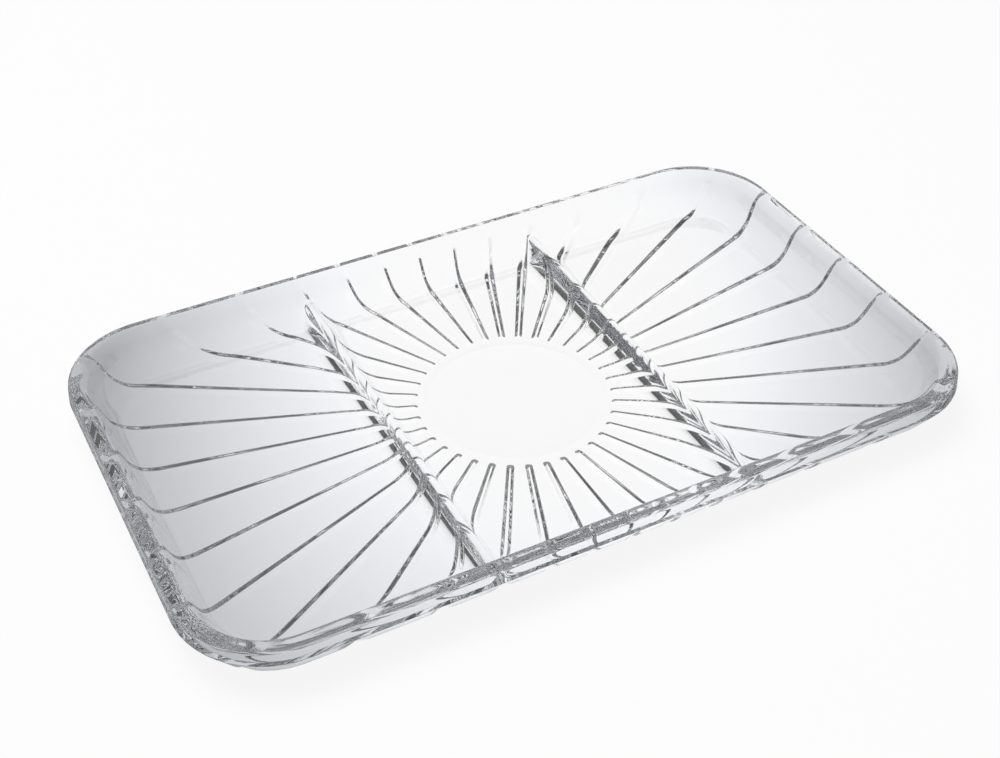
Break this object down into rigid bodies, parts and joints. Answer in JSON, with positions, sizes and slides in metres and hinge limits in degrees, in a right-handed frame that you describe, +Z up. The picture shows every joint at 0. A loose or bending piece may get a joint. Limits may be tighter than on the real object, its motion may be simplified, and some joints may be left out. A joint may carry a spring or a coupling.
{
  "type": "relish tray",
  "caption": "Long shallow rectangular glass dish with flared walls, a flat rim, two low divider ribs and a sunburst of grooves underneath.",
  "frame": {"origin": "on the table, at the centre of the base's underside", "axes": "+X along the length, +Y across the width towards the back, +Z up out of the dish"},
  "size_m": [0.34, 0.204, 0.0216],
  "materials": {
    "glass": "clear, fire-polished",
    "glass_thick": "clear, fire-polished, darker where it is thick"
  },
  "bodies": {
    "root": {"base_plate": "glass", "wall_front": "glass", "wall_back": "glass", "wall_left": "glass", "wall_right": "glass", "corner_front_left": "glass", "corner_front_right": "glass", "corner_back_left": "glass", "corner_back_right": "glass", "rim_band": "glass_thick", "divider_left": "glass_thick", "divider_right": "glass_thick"}
  },
  "joints": []
}
